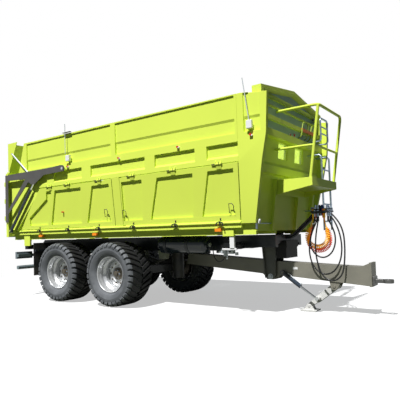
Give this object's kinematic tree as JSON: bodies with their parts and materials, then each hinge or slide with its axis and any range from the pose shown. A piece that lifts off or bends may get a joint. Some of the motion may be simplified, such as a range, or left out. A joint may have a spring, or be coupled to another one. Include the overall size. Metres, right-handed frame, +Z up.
{
  "type": "tandem-axle tipping farm trailer",
  "caption": "Farm tipping trailer on tandem wheels, with a high green body, top-hung side flaps, a hydraulic tailgate, a front platform with its rail and ladder, and a drawbar.",
  "frame": {"origin": "on the ground under the middle of the overall length and width", "axes": "+X along the trailer to the towing eye, +Y to the trailer's left side, +Z up"},
  "size_m": [7.01, 2.58, 3.305],
  "materials": {
    "tyre": "satin",
    "rim_silver": "satin",
    "chassis_black": "satin",
    "spring_steel": "matte",
    "drawbar_grey": "satin",
    "hanger_grey": "satin",
    "body_green": "gloss",
    "galvanised": "satin",
    "gate_steel": "satin",
    "cylinder_black": "gloss",
    "chrome": "polished",
    "rubber": "matte",
    "floor_steel": "satin",
    "lamp_orange": "gloss",
    "lamp_grey": "gloss",
    "hose_red": "gloss",
    "hose_yellow": "gloss"
  },
  "bodies": {
    "chassis": {"air_tank": "cylinder_black", "axles": "chassis_black", "chassis_frame": "chassis_black", "cord_hose_long": "rubber", "cord_hose_middle": "rubber", "cord_hose_short": "rubber", "cord_red": "hose_red", "cord_yellow": "hose_yellow", "drawbar": "drawbar_grey", "drawbar_buffer": "rubber", "headstock": "chassis_black", "hose_arm": "galvanised", "hose_bundle": "rubber", "leaf_springs": "spring_steel", "mudflaps": "rubber", "rear_bar": "chassis_black", "rear_lamps": "lamp_grey", "spring_hangers": "hanger_grey", "towing_eye": "spring_steel"},
    "bed": {"bed_rails": "body_green", "bed_crossmembers": "body_green", "bed_floor": "floor_steel", "tip_brackets": "body_green", "sills": "body_green", "centre_posts": "body_green", "rear_pillars": "body_green", "side_belts": "body_green", "side_boards": "body_green", "front_pillars": "body_green", "front_wall": "body_green", "gable": "body_green", "platform": "body_green", "platform_rail": "body_green", "ladders": "galvanised", "side_markers": "lamp_orange"},
    "gate": {"gate_panel": "body_green", "gate_board": "body_green", "gate_arms": "gate_steel"},
    "gate_barrels": {"gate_barrels": "cylinder_black"},
    "gate_rods": {"gate_rods": "chrome"},
    "flap_rear_left": {"flap_rear_left": "body_green"},
    "flap_front_left": {"flap_front_left": "body_green"},
    "flap_rear_right": {"flap_rear_right": "body_green"},
    "flap_front_right": {"flap_front_right": "body_green"},
    "leg": {"parking_leg": "drawbar_grey"},
    "leg_barrel": {"leg_barrel": "cylinder_black"},
    "leg_rod": {"leg_rod": "chrome"},
    "ram_barrel": {"ram_barrel": "cylinder_black"},
    "ram_stage_1": {"ram_stage_1": "chrome"},
    "ram_stage_2": {"ram_stage_2": "chrome"},
    "ram_stage_3": {"ram_stage_3": "chrome"},
    "ram_stage_4": {"ram_stage_4": "chrome"},
    "wheel_front_right": {"tyre_front_right": "tyre", "rim_front_right": "rim_silver"},
    "wheel_front_left": {"tyre_front_left": "tyre", "rim_front_left": "rim_silver"},
    "wheel_rear_right": {"tyre_rear_right": "tyre", "rim_rear_right": "rim_silver"},
    "wheel_rear_left": {"tyre_rear_left": "tyre", "rim_rear_left": "rim_silver"}
  },
  "joints": [
    {"name": "wheel_front_right_spin", "type": "hinge", "parent": "chassis", "child": "wheel_front_right", "pos_m": [-0.55, -1, 0.54], "axis": [0, 1, 0], "continuous": true},
    {"name": "wheel_front_left_spin", "type": "hinge", "parent": "chassis", "child": "wheel_front_left", "pos_m": [-0.55, 1, 0.54], "axis": [0, 1, 0], "continuous": true},
    {"name": "wheel_rear_right_spin", "type": "hinge", "parent": "chassis", "child": "wheel_rear_right", "pos_m": [-1.89, -1, 0.54], "axis": [0, 1, 0], "continuous": true},
    {"name": "wheel_rear_left_spin", "type": "hinge", "parent": "chassis", "child": "wheel_rear_left", "pos_m": [-1.89, 1, 0.54], "axis": [0, 1, 0], "continuous": true},
    {"name": "bed_tip", "type": "hinge", "parent": "chassis", "child": "bed", "pos_m": [-3.2, 0, 1.1], "axis": [0, -1, 0], "range_deg": [0, 45]},
    {"name": "ram_swing", "type": "hinge", "parent": "chassis", "child": "ram_barrel", "pos_m": [-0.02, 0, 0.96], "axis": [0, -1, 0], "range_deg": [0, 21.49]},
    {"name": "ram_stage_1_slide", "type": "slide", "parent": "ram_barrel", "child": "ram_stage_1", "axis": [0, 0, 1], "range_m": [0, 0.6062]},
    {"name": "ram_stage_2_slide", "type": "slide", "parent": "ram_stage_1", "child": "ram_stage_2", "axis": [0, 0, 1], "range_m": [0, 0.6062]},
    {"name": "ram_stage_3_slide", "type": "slide", "parent": "ram_stage_2", "child": "ram_stage_3", "axis": [0, 0, 1], "range_m": [0, 0.6062]},
    {"name": "ram_stage_4_slide", "type": "slide", "parent": "ram_stage_3", "child": "ram_stage_4", "axis": [0, 0, 1], "range_m": [0, 0.6062]},
    {"name": "gate_open", "type": "hinge", "parent": "bed", "child": "gate", "pos_m": [-1.646, 0, 2.44], "axis": [0, 1, 0], "range_deg": [0, 60]},
    {"name": "gate_barrels_swing", "type": "hinge", "parent": "bed", "child": "gate_barrels", "pos_m": [-3.305, 0, 1.337], "axis": [0, -1, 0], "range_deg": [0, 9.21]},
    {"name": "gate_rods_slide", "type": "slide", "parent": "gate_barrels", "child": "gate_rods", "axis": [0.6533, 0, 0.7571], "range_m": [0, 0.8336]},
    {"name": "flap_rear_left_swing", "type": "hinge", "parent": "bed", "child": "flap_rear_left", "pos_m": [-1.5, 1.237, 2.138], "axis": [1, 0, 0], "range_deg": [0, 60]},
    {"name": "flap_front_left_swing", "type": "hinge", "parent": "bed", "child": "flap_front_left", "pos_m": [0.82, 1.237, 2.138], "axis": [1, 0, 0], "range_deg": [0, 60]},
    {"name": "flap_rear_right_swing", "type": "hinge", "parent": "bed", "child": "flap_rear_right", "pos_m": [-1.5, -1.237, 2.138], "axis": [-1, 0, 0], "range_deg": [0, 60]},
    {"name": "flap_front_right_swing", "type": "hinge", "parent": "bed", "child": "flap_front_right", "pos_m": [0.82, -1.237, 2.138], "axis": [-1, 0, 0], "range_deg": [0, 60]},
    {"name": "leg_fold", "type": "hinge", "parent": "chassis", "child": "leg", "pos_m": [2.753, 0, 0.385], "axis": [0, 1, 0], "range_deg": [0, 36]},
    {"name": "leg_barrel_swing", "type": "hinge", "parent": "chassis", "child": "leg_barrel", "pos_m": [2.02, -0.145, 0.56], "axis": [0, -1, 0], "range_deg": [0, 12.84]},
    {"name": "leg_rod_slide", "type": "slide", "parent": "leg_barrel", "child": "leg_rod", "axis": [0.8099, 0, -0.5866], "range_m": [-0.1425, 0]}
  ],
  "couplings": [
    {"joint": "ram_swing", "follows": "bed_tip", "ratio": 0.47532},
    {"joint": "ram_stage_1_slide", "follows": "bed_tip", "m_per_rad": 0.77125},
    {"joint": "ram_stage_2_slide", "follows": "bed_tip", "m_per_rad": 0.77125},
    {"joint": "ram_stage_3_slide", "follows": "bed_tip", "m_per_rad": 0.77125},
    {"joint": "ram_stage_4_slide", "follows": "bed_tip", "m_per_rad": 0.77125},
    {"joint": "gate_barrels_swing", "follows": "gate_open", "ratio": 0.15175},
    {"joint": "gate_rods_slide", "follows": "gate_open", "m_per_rad": 0.79556},
    {"joint": "leg_barrel_swing", "follows": "leg_fold", "ratio": 0.35384},
    {"joint": "leg_rod_slide", "follows": "leg_fold", "m_per_rad": -0.22594}
  ]
}
